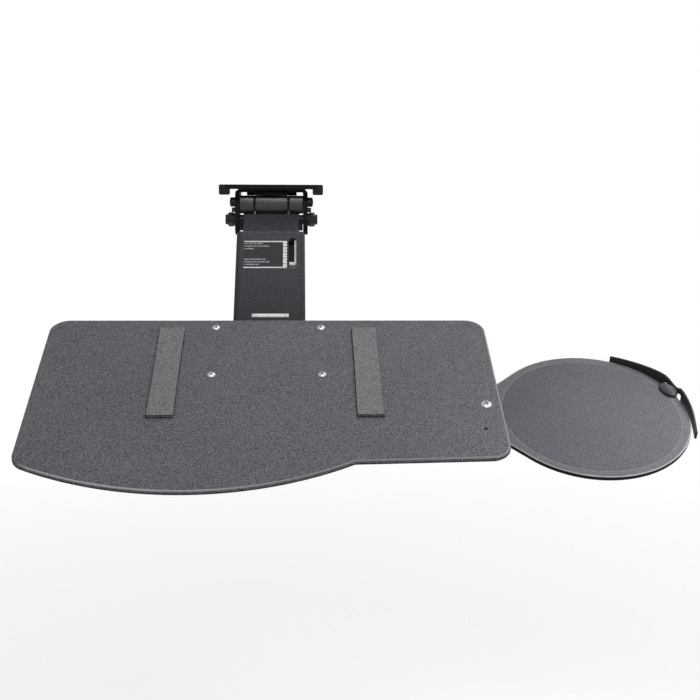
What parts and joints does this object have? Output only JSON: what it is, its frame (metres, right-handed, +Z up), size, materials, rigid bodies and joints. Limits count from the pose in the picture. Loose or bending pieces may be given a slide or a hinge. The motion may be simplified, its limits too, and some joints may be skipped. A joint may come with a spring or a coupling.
{
  "type": "under-desk keyboard tray",
  "caption": "Under-desk keyboard tray: a sprung parallelogram arm on a swivel mount plate carries a tilting board with foam strips, and a round mouse platform swings at its right edge.",
  "frame": {"origin": "centre of the mount plate's top face, on the swivel axis", "axes": "+X to the user's right, -Y towards the user, +Z up to the desk"},
  "size_m": [0.7607, 0.5413, 0.3204],
  "materials": {
    "black_steel": "satin black paint",
    "arm_paint": "satin grey paint",
    "cover_plastic": "satin",
    "glide_plastic": "matte",
    "dark_steel": "dark zinc",
    "bright_steel": "bright zinc",
    "nylon": "natural nylon",
    "bronze": "plain",
    "white_label": "printed",
    "board_laminate": "fine speckled laminate",
    "foam": "soft foam",
    "platform_plastic": "fine texture",
    "mat_cloth": "fine cloth",
    "guard_plastic": "satin",
    "button_plastic": "satin"
  },
  "bodies": {
    "carriage": {"mount_plate": "black_steel", "glide_left": "glide_plastic", "glide_right": "glide_plastic", "glide_screws": "dark_steel", "swivel_bearing": "nylon", "swivel_retainer": "black_steel", "swivel_rivet": "dark_steel"},
    "bracket": {"swivel_bracket": "black_steel", "spring_shaft": "dark_steel", "shaft_cap": "dark_steel", "spring_cover_left": "cover_plastic", "spring_cover_centre": "cover_plastic", "spring_cover_right": "cover_plastic", "torsion_spring_left": "dark_steel", "torsion_spring_right": "dark_steel", "anchor_pins": "dark_steel", "link_pivot_rod": "dark_steel", "link_pivot_washers": "bright_steel", "link_pivot_nuts": "dark_steel", "link_spacers": "dark_steel"},
    "arm": {"arm_channel": "arm_paint", "arm_bushes": "bronze", "scale_label": "white_label", "lower_label": "white_label"},
    "link": {"link_channel": "arm_paint", "link_bushes": "bronze", "height_pointer": "white_label"},
    "head": {"tilt_head": "black_steel", "head_pin": "dark_steel", "tilt_bolt": "dark_steel", "tilt_nut": "dark_steel", "tilt_spacer": "dark_steel", "tilt_inner_washers": "nylon", "tilt_outer_washers": "nylon"},
    "tray": {"tray_bracket": "black_steel", "tray_board": "board_laminate", "pad_left": "foam", "pad_right": "foam", "board_screws": "bright_steel", "board_nuts": "bright_steel", "mouse_pivot_screw": "bright_steel", "mouse_spacer": "nylon", "mouse_washer": "bright_steel", "mouse_nut": "bright_steel"},
    "platform": {"mouse_platform": "platform_plastic", "mouse_mat": "mat_cloth", "mouse_guard": "guard_plastic", "guard_button": "button_plastic", "button_collar": "glide_plastic"}
  },
  "joints": [
    {"name": "swivel", "type": "hinge", "parent": "carriage", "child": "bracket", "pos_m": [0, 0, 0], "axis": [0, 0, 1], "continuous": true},
    {"name": "arm_lift", "type": "hinge", "parent": "bracket", "child": "arm", "pos_m": [0, -0.022, -0.02401], "axis": [-1, 0, 0], "range_deg": [0, 46]},
    {"name": "link_swing", "type": "hinge", "parent": "bracket", "child": "link", "pos_m": [0, -0.022, -0.04801], "axis": [-1, 0, 0], "range_deg": [0, 46]},
    {"name": "head_level", "type": "hinge", "parent": "arm", "child": "head", "pos_m": [0, -0.17614, -0.18398], "axis": [-1, 0, 0], "range_deg": [-46, 0]},
    {"name": "tray_tilt", "type": "hinge", "parent": "head", "child": "tray", "pos_m": [0, -0.17614, -0.18398], "axis": [-1, 0, 0], "range_deg": [0, 37]},
    {"name": "mouse_swing", "type": "hinge", "parent": "tray", "child": "platform", "pos_m": [0.2525, -0.35462, -0.25864], "axis": [0, -0.4493, 0.8934], "range_deg": [-80, 40]}
  ],
  "couplings": [
    {"joint": "link_swing", "follows": "arm_lift", "ratio": 1},
    {"joint": "head_level", "follows": "arm_lift", "ratio": -1}
  ]
}
